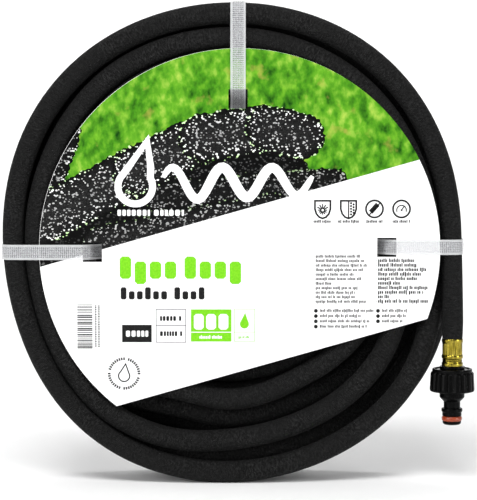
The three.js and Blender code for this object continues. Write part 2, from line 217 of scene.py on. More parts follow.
class Coil:
    """The coiled part of the hose: one row of (radius, depth) for each station that it passes.

    Station 0 is at three o'clock, where the hose comes up from its front end, and the hose then
    runs anticlockwise, STATIONS to the turn. Turns that cross the same clock angle are compared
    in that cross-section, which is where they push each other apart.
    """

    def __init__(self):
        last_turn = (90 + 360 - HIDDEN_END_CLOCK) / 360
        self.count = int(round((len(SLOTS) - 1 + last_turn) * STATIONS)) + 1
        station = np.arange(self.count)
        self.turn = station // STATIONS
        self.share = station / STATIONS - self.turn
        self.clock = math.pi / 2 - station / STATIONS * TURN
        self.aim = self.slots_joined()
        self.place = self.aim.copy()
        self.lanes = self.lanes_at_stations()
        self.room = self.room_at_stations()

    def slots_joined(self):
        """Each turn in its slot, passing over to the next slot round three o'clock."""
        aim = np.zeros((self.count, 2))
        for k, slot in enumerate(SLOTS):
            here = self.turn == k
            clock, share = self.clock[here], self.share[here]
            place = slot_place(slot, clock)
            if k > 0:
                before = (1 - eased((share + CROSSING) / (2 * CROSSING)))[:, None]
                place = place * (1 - before) + slot_place(SLOTS[k - 1], clock) * before
            if k < len(SLOTS) - 1:
                after = eased((share - 1 + CROSSING) / (2 * CROSSING))[:, None]
                place = place * (1 - after) + slot_place(SLOTS[k + 1], clock) * after
            aim[here] = place
        into_last = self.turn + self.share - (len(SLOTS) - 1)
        dip = (1 - eased(into_last / DIP_AFTER)) * (1 - eased(-into_last / DIP_BEFORE))
        aim[:, 1] += LAST_TURN_DIP * dip
        from_strap = np.mod(self.clock + math.pi / 2, TURN) - math.pi
        pull = np.exp(-((from_strap / STRAP_PULL_REACH) ** 2))
        pull = pull * eased((into_last + PULLED_TURNS) / PULL_COMES_IN)
        share_forward = 1 - (aim[:, 1] - FRONT_LAYER) / ((LAYERS - 1) * HOSE_D)
        aim[:, 1] += STRAP_PULL * pull * share_forward
        return aim

    def lanes_at_stations(self):
        """For each station of the turn, the stretches of hose there: index, or fixed place."""
        lanes = len(SLOTS) + 2
        index = np.full((STATIONS, lanes), -1)
        station = np.arange(self.count)
        index[station % STATIONS, self.turn] = station
        fixed = np.full((STATIONS, lanes, 2), np.nan)
        steps = np.arange(1, int(FRONT_TAIL_SPAN / 360 * STATIONS))
        tail_x = FRONT_TAIL[0][0] * MM - COIL_CENTRE[0]
        clock = math.pi / 2 + steps / STATIONS * TURN
        fixed[-steps % STATIONS, -2, 0] = tail_x / np.sin(clock)
        fixed[-steps % STATIONS, -2, 1] = FRONT_LAYER
        rear = np.array(REAR_TAIL + REAR_FITTING) * MM - COIL_CENTRE
        rear_clock = np.mod(np.arctan2(rear[:, 0], rear[:, 2]), TURN)
        steps = np.arange(1, int((HIDDEN_END_CLOCK - CAP_CLOCKS[0]) / 360 * STATIONS))
        clock = math.radians(HIDDEN_END_CLOCK) - steps / STATIONS * TURN
        at = (self.count - 1 + steps) % STATIONS
        fixed[at, -1, 0] = np.interp(-clock, -rear_clock, np.hypot(rear[:, 0], rear[:, 2]))
        fixed[at, -1, 1] = np.interp(-clock, -rear_clock, rear[:, 1])
        return index, fixed

    def room_at_stations(self):
        """How far apart the middles of any two lanes must be, which is more beside the cap."""
        index = self.lanes[0]
        room = np.full((STATIONS, index.shape[1], index.shape[1]), HOSE_D + TURN_GAP)
        first, last = (int((90 - clock) / 360 * STATIONS) for clock in CAP_CLOCKS[::-1])
        beside_cap = np.arange(first, last + 1) % STATIONS
        room[beside_cap, -1, :] = HOSE_R + CAP_REACH
        room[beside_cap, :, -1] = HOSE_R + CAP_REACH
        return room

    def push_apart(self, rate):
        """Moves apart any two turns that are nearer than the hose is thick."""
        index, fixed = self.lanes
        moves = index >= 0
        held = ~np.isnan(fixed[..., 0])
        place = np.full(fixed.shape, np.nan)
        place[moves] = self.place[index[moves]]
        place[held] = fixed[held]
        apart = place[:, None, :, :] - place[:, :, None, :]
        gap = np.sqrt((apart**2).sum(-1))
        lane = np.arange(gap.shape[1])
        gap[:, lane, lane] = np.nan
        short = np.nan_to_num(np.maximum(0, self.room - gap))
        share = np.where(held[:, None, :], 1.0, 0.5)
        push = -np.nan_to_num(apart / gap[..., None]) * (short * share)[..., None]
        self.place[index[moves]] += rate * push.sum(axis=2)[moves]
        self.keep_in_bounds()

    def keep_in_bounds(self):
        """Inside the coil's outline, above the floor, behind the card, before the back."""
        radius, depth = self.place[:, 0], self.place[:, 1]
        down = np.maximum(-np.cos(self.clock), 0.5)
        np.minimum(radius, coil_radius(self.clock) - HOSE_R, out=radius)
        np.minimum(radius, (COIL_CENTRE[2] - HOSE_R) / down, out=radius)
        np.clip(depth, FRONT_LAYER, -FRONT_LAYER, out=depth)

    def smooth(self, rounds):
        """Spreads each turn's departure from its slot along the hose, which is stiff."""
        off = self.place - self.aim
        for _ in range(rounds):
            off[1:-1] += 0.8 * (0.5 * (off[:-2] + off[2:]) - off[1:-1])
        off[0] = 0
        off[-1] = 0
        self.place = self.aim + off

    def settle(self, rounds=400):
        """Draws the turns to their slots, smooths them and pushes them apart, over and over."""
        self.place += np.random.default_rng(4).normal(0, 0.4 * MM, self.place.shape)
        for k in range(rounds):
            self.place += 0.02 * (1 - k / rounds) * (self.aim - self.place)
            self.smooth(6 if k < 0.85 * rounds else 2)
            self.push_apart(0.45)
        for _ in range(60):
            self.push_apart(0.5)
            self.smooth(1)
        self.smooth(8)

    def points(self):
        """The coil's middle line in space."""
        radius, depth = self.place[:, 0], self.place[:, 1]
        x = radius * np.sin(self.clock)
        z = radius * np.cos(self.clock)
        return COIL_CENTRE + np.stack([x, depth, z], axis=1)


def distances(line):
    """How far along a line each of its points is."""
    return np.concatenate([[0], np.cumsum(np.linalg.norm(np.diff(line, axis=0), axis=1))])


def spline(points, spacing):
    """Points at an even spacing on a Catmull-Rom curve through the given ones."""
    p = np.array(points, float)
    p = np.vstack([2 * p[0] - p[1], p, 2 * p[-1] - p[-2]])
    t = np.linspace(0, 1, 40, endpoint=False)[:, None]
    fine = []
    for a, b, c, d in zip(p[:-3], p[1:-2], p[2:-1], p[3:]):
        square = 2 * a - 5 * b + 4 * c - d
        cube = 3 * b - a - 3 * c + d
        fine.append(0.5 * (2 * b + (c - a) * t + square * t**2 + cube * t**3))
    fine = np.vstack(fine + [p[-2:-1]])
    far = distances(fine)
    steps = max(1, int(round(far[-1] / spacing)))
    at = np.linspace(0, far[-1], steps + 1)
    return np.stack([np.interp(at, far, fine[:, k]) for k in range(3)], axis=1)


def hose_route():
    """The hose's middle line, from inside the tap ferrule to inside the end ferrule."""
    coil = Coil()
    coil.settle()
    turns = coil.points()
    y = COIL_CENTRE[1] + FRONT_LAYER
    tail = [(x * MM, y, z * MM) for x, z in reversed(FRONT_TAIL)]
    inside = (FITTING_X, y, FERRULE_TOP - HOSE_IN_FERRULE)
    front = spline([inside, *tail[:-1], turns[2], turns[4]], 1 * MM)
    rear = np.array(REAR_TAIL) * MM
    onward = rear[-1] - rear[-2]
    out = rear[-1] + onward / np.linalg.norm(onward) * HOSE_IN_FERRULE
    back = spline([turns[-3], turns[-1], *rear[1:], out], 1 * MM)
    return np.vstack([front[:-1], turns[4:-3], back])


def evened(line, rounds=14):
    """The same line with its small kinks smoothed out and its turns kept as wide as they were."""
    line = line.copy()
    for _ in range(rounds):
        for amount in (0.5, -0.52):
            line[1:-1] += amount * (0.5 * (line[:-2] + line[2:]) - line[1:-1])
    return line


def tube_mesh(name, line, radii, sides):
    """A closed tube round a line.

    Its attribute "skin" holds each point's place on the same tube laid out straight.
    """
    tangent = np.gradient(line, axis=0)
    tangent /= np.linalg.norm(tangent, axis=1)[:, None]
    normal = np.zeros_like(line)
    first = np.cross(tangent[0], (0.0, 1.0, 0.0))
    normal[0] = first / np.linalg.norm(first)
    for i in range(1, len(line)):
        carried = normal[i - 1] - tangent[i] * normal[i - 1].dot(tangent[i])
        normal[i] = carried / np.linalg.norm(carried)
    binormal = np.cross(tangent, normal)
    turn = np.arange(sides) / sides * TURN
    ring = (
        normal[:, None, :] * np.cos(turn)[None, :, None]
        + binormal[:, None, :] * np.sin(turn)[None, :, None]
    )
    points = (line[:, None, :] + ring * radii[:, None, None]).reshape(-1, 3)
    faces = []
    for i in range(len(line) - 1):
        a, b = i * sides, (i + 1) * sides
        for j in range(sides):
            k = (j + 1) % sides
            faces.append((a + j, a + k, b + k, b + j))
    faces.append(tuple(range(sides - 1, -1, -1)))
    last = (len(line) - 1) * sides
    faces.append(tuple(last + j for j in range(sides)))
    mesh = bpy.data.meshes.new(name)
    mesh.from_pydata(points.tolist(), [], faces)
    circle = np.stack([np.cos(turn), np.sin(turn), np.zeros(sides)], axis=1)
    straight = (circle[None] * radii[:, None, None] + (0, 0, 1) * distances(line)[:, None, None])
    skin = mesh.attributes.new("skin", "FLOAT_VECTOR", "POINT")
    skin.data.foreach_set("vector", straight.ravel().astype(np.float32))
    mesh.shade_smooth()
    piece = bpy.data.objects.new(name, mesh)
    scene.collection.objects.link(piece)
    return piece


hose_line = evened(hose_route())


def add_hose(line):
    """The hose, squeezed where a ferrule grips each of its ends."""
    along = distances(line)
    from_end = np.minimum(along, along[-1] - along)
    from_mouth = from_end - HOSE_IN_FERRULE
    radii = np.interp(
        from_mouth, (-0.6 * MM, 0.6 * MM, 14 * MM), (SQUEEZED_R, HOSE_R - 0.4 * MM, HOSE_R)
    )
    hose = tube_mesh("soaker_hose", line, radii, 24)
    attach(hose, "coil")
    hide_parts("hose_coil", "hose_end_front", "hose_end_rear")
    return hose


hose = add_hose(hose_line)

# ------------------------------------------------------------------ materials
def new_material(name, roughness, metallic=0.0, specular=0.5):
    """A material with its node tree and its shader."""
    material = bpy.data.materials.new(name)
    material.use_nodes = True
    shader = material.node_tree.nodes["Principled BSDF"]
    shader.inputs["Roughness"].default_value = roughness
    shader.inputs["Metallic"].default_value = metallic
    shader.inputs["Specular IOR Level"].default_value = specular
    return material, material.node_tree, shader


class Nodes:
    """Short ways to add the texture and maths nodes that the materials share."""

    def __init__(self, tree):
        self.tree = tree

    def add(self, kind, **settings):
        node = self.tree.nodes.new(kind)
        for name, value in settings.items():
            setattr(node, name, value)
        return node

    def plug(self, value, socket):
        """Links an output to a socket, or sets the socket to a constant."""
        if isinstance(value, bpy.types.NodeSocket):
            self.tree.links.new(value, socket)
        else:
            socket.default_value = value

    def object_place(self):
        return self.add("ShaderNodeTexCoord").outputs["Object"]

    def attribute(self, name, output="Fac"):
        return self.add("ShaderNodeAttribute", attribute_name=name).outputs[output]

    def maths(self, operation, a, b=0.0, c=0.0):
        node = self.add("ShaderNodeMath", operation=operation)
        for value, socket in zip((a, b, c), node.inputs):
            self.plug(value, socket)
        return node.outputs[0]

    def vector(self, operation, a, b=(0, 0, 0), output=0):
        node = self.add("ShaderNodeVectorMath", operation=operation)
        self.plug(a, node.inputs[0])
        self.plug(b, node.inputs[1])
        return node.outputs[output]

    def stretch(self, place, scale, turn=(0, 0, 0)):
        node = self.add("ShaderNodeMapping")
        self.plug(place, node.inputs["Vector"])
        node.inputs["Rotation"].default_value = turn
        node.inputs["Scale"].default_value = scale
        return node.outputs[0]

    def noise(self, place, scale, detail=2.0):
        node = self.add("ShaderNodeTexNoise")
        self.plug(place, node.inputs["Vector"])
        node.inputs["Scale"].default_value = scale
        node.inputs["Detail"].default_value = detail
        return node.outputs["Fac"]

    def cells(self, place, scale, output="Distance"):
        node = self.add("ShaderNodeTexVoronoi")
        self.plug(place, node.inputs["Vector"])
        node.inputs["Scale"].default_value = scale
        return node.outputs[output]

    def ramp(self, factor, *stops):
        node = self.add("ShaderNodeValToRGB")
        self.plug(factor, node.inputs["Fac"])
        elements = node.color_ramp.elements
        while len(elements) < len(stops):
            elements.new(0.5)
        for element, (position, color) in zip(elements, stops):
            element.position = position
            element.color = (*color, 1)
        return node.outputs["Color"]

    def mix(self, factor, a, b):
        node = self.add("ShaderNodeMix", data_type="RGBA")
        self.plug(factor, node.inputs[0])
        self.plug(a, node.inputs[6])
        self.plug(b, node.inputs[7])
        return node.outputs[2]

    def bump(self, height, strength, distance, shader):
        node = self.add("ShaderNodeBump")
        self.plug(height, node.inputs["Height"])
        node.inputs["Strength"].default_value = strength
        node.inputs["Distance"].default_value = distance
        self.plug(node.outputs[0], shader.inputs["Normal"])


def grey(value):
    """A grey of that lightness, 0 to 1."""
    return (value, value, value)


def hose_rubber():
    """Porous recycled rubber: matt black, its pebbled skin marked by short streaks across it."""
    material, tree, shader = new_material("porous_rubber", 0.75, specular=0.16)
    nodes = Nodes(tree)
    place = nodes.object_place()
    pebbles = nodes.cells(place, 900)
    grain = nodes.noise(place, 2200, 3)
    crossways = nodes.stretch(nodes.attribute("skin", "Vector"), (0.5, 0.5, 1), (0.35, 0, 0))
    streaks = nodes.noise(crossways, 850, 2)
    height = nodes.maths("MULTIPLY_ADD", grain, 0.4, pebbles)
    nodes.bump(nodes.maths("MULTIPLY_ADD", streaks, 2.2, height), 1.0, 0.0009, shader)
    patches = nodes.ramp(nodes.noise(place, 40, 2), (0.35, grey(0.2)), (0.6, grey(0.9)))
    color = nodes.ramp(grain, (0.3, grey(0.002)), (0.75, grey(0.009)))
    dusty = nodes.ramp(streaks, (0.42, grey(0.001)), (0.66, grey(0.018)))
    nodes.plug(nodes.mix(patches, color, dusty), shader.inputs["Base Color"])
    return material


def brass():
    """Yellow brass, unevenly tarnished, with upright drawing marks."""
    material, tree, shader = new_material("ferrule_brass", 0.2, metallic=1.0)
    nodes = Nodes(tree)
    place = nodes.object_place()
    tarnish = nodes.noise(place, 180, 4)
    gold = nodes.ramp(tarnish, (0.3, (0.30, 0.23, 0.02)), (0.7, (0.62, 0.50, 0.08)))
    drawn = nodes.noise(nodes.stretch(place, (1, 1, 0.1)), 900, 3)
    marks = nodes.ramp(drawn, (0.36, grey(0.32)), (0.56, grey(0.85)))
    nodes.plug(nodes.vector("MULTIPLY", gold, marks), shader.inputs["Base Color"])
    scratches = nodes.noise(nodes.stretch(place, (1, 1, 0.08)), 3500, 2)
    nodes.plug(nodes.maths("MULTIPLY_ADD", scratches, 0.18, 0.12), shader.inputs["Roughness"])
    nodes.bump(scratches, 0.1, 0.00005, shader)
    return material


def black_plastic():
    """Moulded black plastic, scuffed a little."""
    material, tree, shader = new_material("black_plastic", 0.25, specular=0.06)
    nodes = Nodes(tree)
    place = nodes.object_place()
    grain = nodes.noise(place, 1600, 3)
    nodes.plug(nodes.ramp(grain, (0.3, grey(0.001)), (0.8, grey(0.003))), shader.inputs["Base Color"])
    scuffs = nodes.noise(place, 220, 4)
    nodes.plug(nodes.maths("MULTIPLY_ADD", scuffs, 0.2, 0.14), shader.inputs["Roughness"])
    nodes.bump(grain, 0.12, 0.00006, shader)
    return material


def soft_rubber(name, dark, light, roughness):
    """Washers and seals: an even rubber with a faint grain."""
    material, tree, shader = new_material(name, roughness)
    nodes = Nodes(tree)
    grain = nodes.noise(nodes.object_place(), 900, 3)
    nodes.plug(nodes.ramp(grain, (0.3, dark), (0.7, light)), shader.inputs["Base Color"])
    nodes.bump(grain, 0.15, 0.00005, shader)
    return material


def printing_ink(name, dark, light):
    """One printing colour, with the faint unevenness of print."""
    material, tree, shader = new_material(name, 0.4, specular=0.1)
    nodes = Nodes(tree)
    mottle = nodes.noise(nodes.object_place(), 700, 2)
    nodes.plug(nodes.ramp(mottle, (0.35, dark), (0.65, light)), shader.inputs["Base Color"])
    return material


HOSE_RUBBER = hose_rubber()
BRASS = brass()
BLACK_PLASTIC = black_plastic()
SEAL_RUBBER = soft_rubber("seal_rubber", (0.20, 0.028, 0.008), (0.36, 0.055, 0.015), 0.28)
WASHER_RUBBER = soft_rubber("washer_rubber", grey(0.012), grey(0.03), 0.6)
INK_BLACK = printing_ink("ink_black", grey(0.008), grey(0.016))
INK_GREY = printing_ink("ink_grey", grey(0.04), grey(0.08))
INK_GREEN = printing_ink("ink_green", (0.15, 0.52, 0.012), (0.20, 0.60, 0.02))
INK_WHITE = printing_ink("ink_white", grey(0.86), grey(0.92))

hose.data.materials.append(HOSE_RUBBER)


# ------------------------------------------------------------------ turned pieces
def make_piece(name, points, faces, body, material, sharp_angle=32):
    """A mesh object that rides on a body of the frame."""
    mesh = bpy.data.meshes.new(name)
    mesh.from_pydata([tuple(p) for p in points], [], faces)
    mesh.materials.append(material)
    shell = bmesh.new()
    shell.from_mesh(mesh)
    bmesh.ops.recalc_face_normals(shell, faces=shell.faces)
    shell.to_mesh(mesh)
    shell.free()
    mesh.shade_smooth()
    mesh.set_sharp_from_angle(angle=math.radians(sharp_angle))
    piece = bpy.data.objects.new(name, mesh)
    scene.collection.objects.link(piece)
    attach(piece, body)
    return piece


def rounded(profile, radius=0.35, steps=4):
    """A closed (radius, height) outline with each of its corners eased by a small arc."""
    corners = [Vector(p) for p in profile]
    outline = []
    for i, corner in enumerate(corners):
        before = corners[i - 1] - corner
        after = corners[(i + 1) % len(corners)] - corner
        ease = min(radius, 0.45 * before.length, 0.45 * after.length)
        a = corner + before.normalized() * ease
        b = corner + after.normalized() * ease
        for k in range(steps + 1):
            t = k / steps
            outline.append((1 - t) ** 2 * a + 2 * t * (1 - t) * corner + t * t * b)
    return outline


def split_long(outline, longest):
    """The same closed outline with its long edges cut into short ones."""
    fine = []
    for i, here in enumerate(outline):
        there = outline[(i + 1) % len(outline)]
        pieces = max(1, math.ceil((there - here).length / longest))
        fine.extend(here.lerp(there, k / pieces) for k in range(pieces))
    return fine


def turned(name, outline, place, body, material, sides=96, relief=None):
    """A closed (radius, height) outline in mm, turned round an axis that place sets in space.

    relief(angle, radius, height) gives the radius at each point, for ribs and threads.
    """
    points = []
    for step in range(sides):
        angle = step / sides * TURN
        for radius, height in outline:
            r = relief(angle, radius, height) if relief else radius
            local = Vector((r * math.cos(angle), r * math.sin(angle), height)) * MM
            points.append(place @ local)
    n = len(outline)
    faces = []
    for step in range(sides):
        a, b = step * n, (step + 1) % sides * n
        for i in range(n):
            k = (i + 1) % n
            faces.append((a + i, a + k, b + k, b + i))
    return make_piece(name, points, faces, body, material)


def stand_in(piece, node):
    """The piece takes the place of a node of the frame, which is hidden."""
    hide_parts(node)
    return piece


# ------------------------------------------------------------------ hose ends
# Each end is drawn on its own axis, in mm: height 0 at the ferrule's mouth, the hose above it
# and everything else below.
FERRULE_R = 8.05
FERRULE_WALL = 0.6
FERRULE_BOTTOM = -FERRULE_MM
WATER_R = 3.4
STEM_R = 4.6
FLANGE_R = 9.6
THREAD_R = 13.0
THREAD_DEPTH = 1.05
THREAD_PITCH = 1.814
THREAD_TOP = -23.4
THREAD_BOTTOM = -33.8
SOCKET_FLOOR = -36.4
GRIP_R = 16.85
GRIP_TOP = -22.8
GRIP_BOTTOM = -40.4
GRIP_RIBS = 18
CAP_BOTTOM = -42.8
NIPPLE_TIP = -65.5
STEM_TOP = 9
WASHER_R = 12.8
WASHER_BORE_R = 6.4
WASHER_TOP = -34.1
WASHER_BOTTOM = -36.1

REAR_MOUTH = Vector(REAR_TAIL[-1]) * MM
REAR_AXIS = Vector((0.9693178, 0.0625289, 0.2377248))


def ferrule_relief(angle, radius, height):
    """Fine upright crimp marks round the plain middle of the ferrule."""
    middle = eased((height + 12.6) / 0.8) * eased((-3.1 - height) / 0.8)
    if radius < FERRULE_R - FERRULE_WALL + 0.1:
        return radius
    mark = (0.5 + 0.5 * math.cos(27 * angle)) ** 3
    wave = 0.5 + 0.5 * math.cos(6 * angle + 0.8)
    return radius - float(middle) * (0.36 * mark + 0.14 * wave)


def add_ferrule(name, place, node):
    """A brass sleeve with a band and a rolled ring at its lower end, and a rim at its mouth."""
    inner = FERRULE_R - FERRULE_WALL
    outline = [
        (inner, FERRULE_BOTTOM),
        (FERRULE_R, FERRULE_BOTTOM),
        (FERRULE_R, FERRULE_BOTTOM + 2.4),
        (FERRULE_R - 0.6, FERRULE_BOTTOM + 2.9),
        (FERRULE_R - 0.6, FERRULE_BOTTOM + 5.4),
        (FERRULE_R + 0.05, FERRULE_BOTTOM + 6.1),
        (FERRULE_R + 0.05, FERRULE_BOTTOM + 7.9),
        (FERRULE_R - 0.35, FERRULE_BOTTOM + 8.6),
        (FERRULE_R - 0.35, -3.0),
        (FERRULE_R, -2.5),
        (FERRULE_R, -0.5),
        (FERRULE_R - 0.2, 0),
        (inner, 0),
    ]
    fine = split_long(rounded(outline, 0.4), 1.2)
    piece = turned(name, fine, place, "coil", BRASS, 216, ferrule_relief)
    return stand_in(piece, node)


def thread_wave(angle, height):
    """How far a right-hand thread stands out of its root, from 0 to 1."""
    phase = (height / THREAD_PITCH - angle / TURN) % 1
    return min(1.0, max(0.0, 1.25 - abs(phase - 0.5) * 4 + 0.25))


def male_relief(angle, radius, height):
    """The insert's male thread, running out at both ends."""
    if radius < THREAD_R - 1.5 or not THREAD_BOTTOM < height < THREAD_TOP:
        return radius
    run_out = float(eased((height - THREAD_BOTTOM) / 1.2) * eased((THREAD_TOP - height) / 1.6))
    return radius - THREAD_DEPTH * (1 - thread_wave(angle, height) * run_out)


def female_relief(angle, radius, height):
    """The socket's thread, which clears the male one, and the ribs outside the grip."""
    if abs(radius - THREAD_R - 0.35) < 0.02 and height > SOCKET_FLOOR + 2.6:
        run_out = float(eased((GRIP_TOP - 0.4 - height) / 1.2))
        valley = 1 - thread_wave(angle, height)
        return radius - 0.8 * THREAD_DEPTH * valley * run_out
    if radius > GRIP_R - 1.9:
        ends = eased((height - GRIP_BOTTOM - 0.5) / 1.4) * eased((GRIP_TOP - 2.0 - height) / 1.0)
        groove = (0.5 - 0.5 * math.cos(GRIP_RIBS * angle)) ** 4
        return radius - 1.0 * groove * float(ends)
    return radius


def add_insert(name, place, node):
    """Barbed stem inside the hose, round flange under the ferrule, and the male thread."""
    stem = []
    barb = FERRULE_BOTTOM + 3.5
    while barb < 5:
        stem += [(STEM_R, barb), (STEM_R + 0.45, barb + 0.2), (STEM_R, barb + 3.6)]
        barb += 4.8
    bottom = FERRULE_BOTTOM - 0.3
    outline = [
        (WATER_R, THREAD_BOTTOM),
        (THREAD_R - 1.2, THREAD_BOTTOM),
        (THREAD_R, THREAD_BOTTOM + 0.8),
        (THREAD_R, THREAD_TOP - 0.4),
        (THREAD_R - 1.1, THREAD_TOP),
        (FLANGE_R - 0.3, THREAD_TOP),
        (FLANGE_R - 0.3, THREAD_TOP + 0.5),
        (FLANGE_R, THREAD_TOP + 0.8),
        (FLANGE_R, bottom),
        (STEM_R, bottom),
        *stem,
        (STEM_R - 0.7, STEM_TOP),
        (WATER_R, STEM_TOP),
    ]
    fine = split_long(rounded(outline, 0.3, 3), 0.3)
    piece = turned(name, fine, place, "coil", BLACK_PLASTIC, 96, male_relief)
    return stand_in(piece, node)


def grip_outside():
    """The ribbed nut's outline: a low ring on top, then the barrel, flaring a little downward."""
    return [
        (GRIP_R - 4.4, GRIP_BOTTOM),
        (GRIP_R - 1.8, GRIP_BOTTOM),
        (GRIP_R - 0.2, GRIP_BOTTOM + 0.5),
        (GRIP_R + 0.15, GRIP_BOTTOM + 1.6),
        (GRIP_R - 0.5, GRIP_TOP - 3.4),
        (GRIP_R - 1.3, GRIP_TOP - 2.5),
        (GRIP_R - 1.75, GRIP_TOP - 2.4),
        (GRIP_R - 1.65, GRIP_TOP - 0.6),
        (GRIP_R - 2.2, GRIP_TOP),
        (THREAD_R + 0.5, GRIP_TOP),
        (THREAD_R + 0.35, GRIP_TOP - 0.2),
    ]


def add_adaptor(place):
    """The nut and, in one piece with it, the quick-connect nipple."""
    socket = [(THREAD_R + 0.35, SOCKET_FLOOR)]
    bore = [(WATER_R + 0.9, SOCKET_FLOOR), (WATER_R + 0.9, NIPPLE_TIP)]
    nipple = [
        (5.9, NIPPLE_TIP),
        (6.9, NIPPLE_TIP + 0.9),
        (7.1, -63.0),
        (5.6, -63.0),
        (5.6, -58.9),
        (7.3, -58.9),
        (7.3, -56.0),
        (8.0, -55.4),
        (8.0, -53.6),
        (7.6, -53.0),
        (6.3, -52.7),
        (6.3, -47.9),
        (8.6, -45.6),
        (9.5, -44.6),
        (9.5, -41.2),
        (10.9, -40.5),
    ]
    outline = bore + nipple + grip_outside() + socket
    fine = split_long(rounded(outline, 0.4, 3), 0.4)
    piece = turned(
        "tap_adaptor_detail", fine, place, "tap_adaptor_body", BLACK_PLASTIC, 216, female_relief
    )
    return stand_in(piece, "tap_adaptor")


def add_cap(place):
    """The end cap: the same ribbed grip, closed by a domed end with a ring moulded on it."""
    outside = [
        (0.05, SOCKET_FLOOR),
        (0.05, CAP_BOTTOM + 0.5),
        (5.0, CAP_BOTTOM + 0.5),
        (5.6, CAP_BOTTOM),
        (9.4, CAP_BOTTOM + 0.1),
        (13.2, CAP_BOTTOM + 1.1),
        (14.4, CAP_BOTTOM + 2.4),
    ]
    outline = outside + grip_outside()[1:] + [(THREAD_R + 0.35, SOCKET_FLOOR)]
    fine = split_long(rounded(outline, 0.4, 3), 0.4)
    piece = turned(
        "end_cap_detail", fine, place, "end_cap_body", BLACK_PLASTIC, 216, female_relief
    )
    return stand_in(piece, "end_cap")


def add_washer(name, place, body, node):
    """The flat washer at the bottom of the socket that the insert screws into."""
    outline = [
        (WASHER_BORE_R, WASHER_BOTTOM),
        (WASHER_R, WASHER_BOTTOM),
        (WASHER_R, WASHER_TOP),
        (WASHER_BORE_R, WASHER_TOP),
    ]
    fine = split_long(rounded(outline, 0.3), 2)
    piece = turned(name, fine, place, body, WASHER_RUBBER, 72)
    return stand_in(piece, node)


def add_seal(place):
    """The ring in the nipple's groove, crowned outside."""
    outline = [
        (5.9, -62.8),
        (6.9, -62.8),
        (7.6, -62.2),
        (7.8, -60.95),
        (7.6, -59.7),
        (6.9, -59.1),
        (5.9, -59.1),
    ]
    piece = turned(
        "nipple_seal_detail", rounded(outline, 0.8), place, "tap_adaptor_body", SEAL_RUBBER, 96
    )
    return stand_in(piece, "tap_nipple_seal")


def axis_frame(mouth, up):
    """Where an end drawn on its own axis stands: its mouth, and the way that its hose leaves."""
    turn = Vector(up).normalized().to_track_quat("Z", "Y").to_matrix().to_4x4()
    return Matrix.Translation(mouth) @ turn


tap_place = Matrix.Translation((FITTING_X, float(COIL_CENTRE[1] + FRONT_LAYER), FERRULE_TOP))
end_place = axis_frame(REAR_MOUTH, -REAR_AXIS)
fittings = [
    add_ferrule("tap_ferrule_detail", tap_place, "tap_ferrule"),
    add_insert("tap_insert_detail", tap_place, "tap_hose_insert"),
    add_washer("tap_washer_detail", tap_place, "tap_washer_body", "tap_washer"),
    add_adaptor(tap_place),
    add_seal(tap_place),
    add_ferrule("end_ferrule_detail", end_place, "end_ferrule"),
    add_insert("end_insert_detail", end_place, "end_hose_insert"),
    add_washer("end_washer_detail", end_place, "end_washer_body", "end_washer"),
    add_cap(end_place),
]

# ------------------------------------------------------------------ straps
STRAP_W = 11.4 * MM
STRAP_T = 0.7 * MM
STRAP_CLEAR = 0.25 * MM
STRAP_RIB = 1.45 * MM
STRAP_OVERLAP = 26 * MM
STRAP_LIFT = STRAP_T + 0.12 * MM
STRAP_LANES = 13
SELVEDGE = 0.36
CARD_FRONT = -29.825 * MM
CARD_R = 150.7 * MM
CARD_CENTRE = np.array((1.16, 3.675, 178.3)) * MM
WINDOW = 14.4 * MM

# Each strap: its name, its clock angle in degrees, how far its middle is off the coil's axis, and
# how far out the middle of its window in the card is, in mm.
STRAPS = (("top", 0, 3.6, 110.0), ("left", -90, -5.0, 105.9), ("right", 90, 1.2, 115.4))


def convex_loop(points):
    """The convex outline round some points, anticlockwise."""
    points = sorted(set(map(tuple, np.round(points, 7))))

    def chain(sequence):
        line = []
        for p in sequence:
            while len(line) > 1:
                (ax, ay), (bx, by) = line[-2], line[-1]
                if (bx - ax) * (p[1] - ay) - (by - ay) * (p[0] - ax) > 0:
                    break
                line.pop()
            line.append(p)
        return line[:-1]

    return np.array(chain(points) + chain(points[::-1]))


def strap_basis(clock, sideways):
    """The strap's own axes: out from the coil's axis, and across the strap."""
    out = np.array((math.sin(clock), 0, math.cos(clock)))
    across = np.array((math.cos(clock), 0, -math.sin(clock)))
    return out, across, COIL_CENTRE + across * sideways


def strap_section(line, clock, sideways, window):
    """Every point that the strap has to pass outside of, as (distance out, depth)."""
    out, across, origin = strap_basis(clock, sideways)
    off = line - origin
    near = (np.abs(off @ across) < STRAP_W / 2 + 1 * MM) & (off @ out > 60 * MM)
    reach = HOSE_R + STRAP_CLEAR
    turn = np.linspace(0, TURN, 48, endpoint=False)
    ring = np.stack([np.cos(turn), np.sin(turn)], axis=1) * reach
    centres = np.stack([off[near] @ out, line[near][:, 1]], axis=1)
    points = (centres[:, None, :] + ring[None]).reshape(-1, 2)
    lifted = CARD_FRONT - STRAP_CLEAR
    edge = window + WINDOW / 2 + 0.3 * MM
    rim = CARD_R + (CARD_CENTRE - COIL_CENTRE) @ out
    return np.vstack([points, [(edge, lifted), (rim, lifted)]])


def offset_loop(loop, distance):
    """A closed anticlockwise loop pushed outward."""
    after = np.roll(loop, -1, axis=0) - loop
    before = loop - np.roll(loop, 1, axis=0)
    way = after / np.linalg.norm(after, axis=1)[:, None]
    way += before / np.linalg.norm(before, axis=1)[:, None]
    way /= np.linalg.norm(way, axis=1)[:, None]
    return loop + np.stack([way[:, 1], -way[:, 0]], axis=1) * np.reshape(distance, (-1, 1))


def evenly(loop, spacing):
    """A closed loop cut at an even spacing."""
    closed = np.vstack([loop, loop[:1]])
    far = distances(closed)
    count = int(round(far[-1] / spacing))
    at = np.arange(count) * far[-1] / count
    return np.stack([np.interp(at, far, closed[:, k]) for k in range(2)], axis=1)


